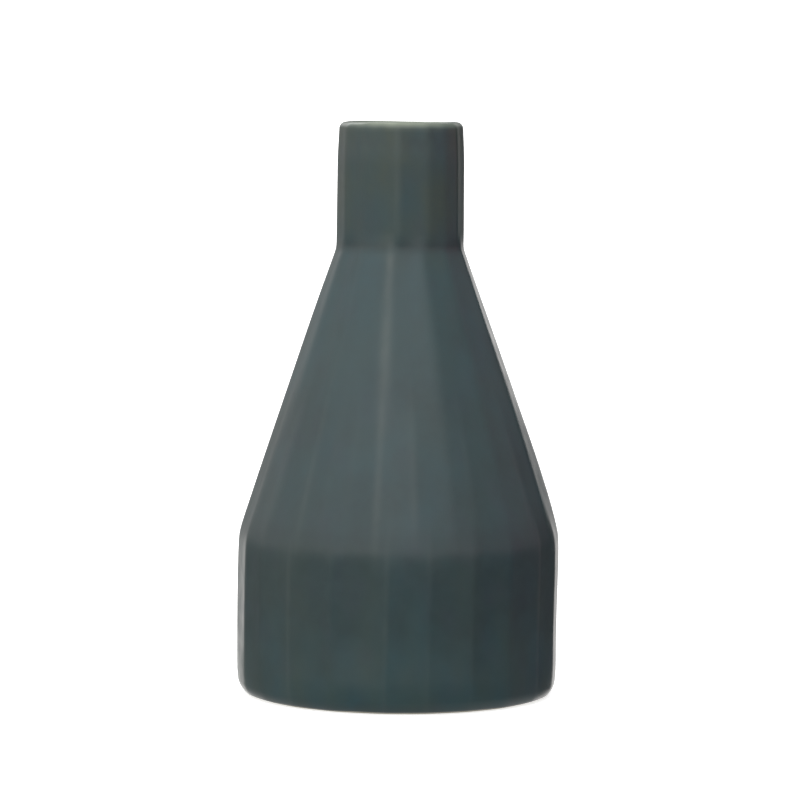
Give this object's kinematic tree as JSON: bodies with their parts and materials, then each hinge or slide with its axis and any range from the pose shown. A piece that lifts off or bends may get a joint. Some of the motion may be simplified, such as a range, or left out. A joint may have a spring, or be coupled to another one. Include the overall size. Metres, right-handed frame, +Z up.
{
  "type": "bud vase",
  "caption": "Faceted stoneware bottle vase with a drum base, a long cone and a short open neck, glazed inside and out over a bare foot ring.",
  "frame": {"origin": "on the surface that the vase stands on, at the centre of its bounding box in X and Y", "axes": "+Z up through the mouth, -Y towards the front facets, +X to the right seen from the front"},
  "size_m": [0.1146, 0.1145, 0.203],
  "materials": {
    "stoneware": "bare fired clay, matte",
    "teal_glaze": "satin dark teal-grey glaze",
    "liner_glaze": "thin satin liner glaze"
  },
  "bodies": {
    "root": {"clay_body": "stoneware", "outer_glaze": "teal_glaze", "inner_glaze": "liner_glaze", "underside_glaze": "liner_glaze"}
  },
  "joints": []
}
